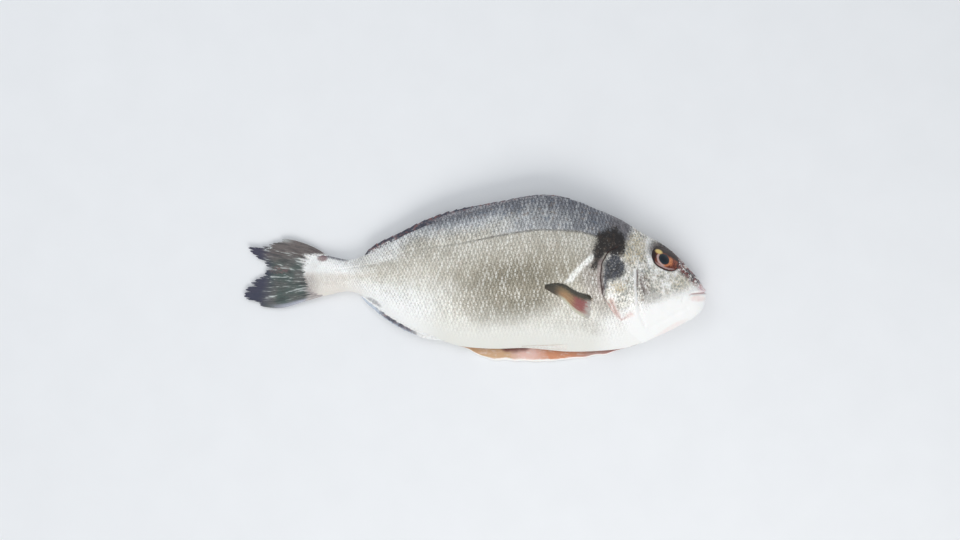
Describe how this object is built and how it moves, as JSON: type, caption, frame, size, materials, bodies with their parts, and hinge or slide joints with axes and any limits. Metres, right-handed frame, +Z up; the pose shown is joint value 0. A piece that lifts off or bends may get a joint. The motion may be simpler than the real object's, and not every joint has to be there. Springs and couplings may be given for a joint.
{
  "type": "sea bream",
  "caption": "Whole gutted gilthead sea bream lying on its side, with folded fins, a forked tail and a cut belly.",
  "frame": {"origin": "under the middle of the fish's bounding box, on the surface that it lies on", "axes": "+X from the tail to the snout, +Y from the belly to the back, +Z up out of the right flank"},
  "size_m": [0.3, 0.1086, 0.041],
  "materials": {
    "skin": "satin",
    "fins": "satin",
    "eyes": "gloss",
    "flesh": "satin"
  },
  "bodies": {
    "root": {"sea_bream": "skin"}
  },
  "joints": []
}
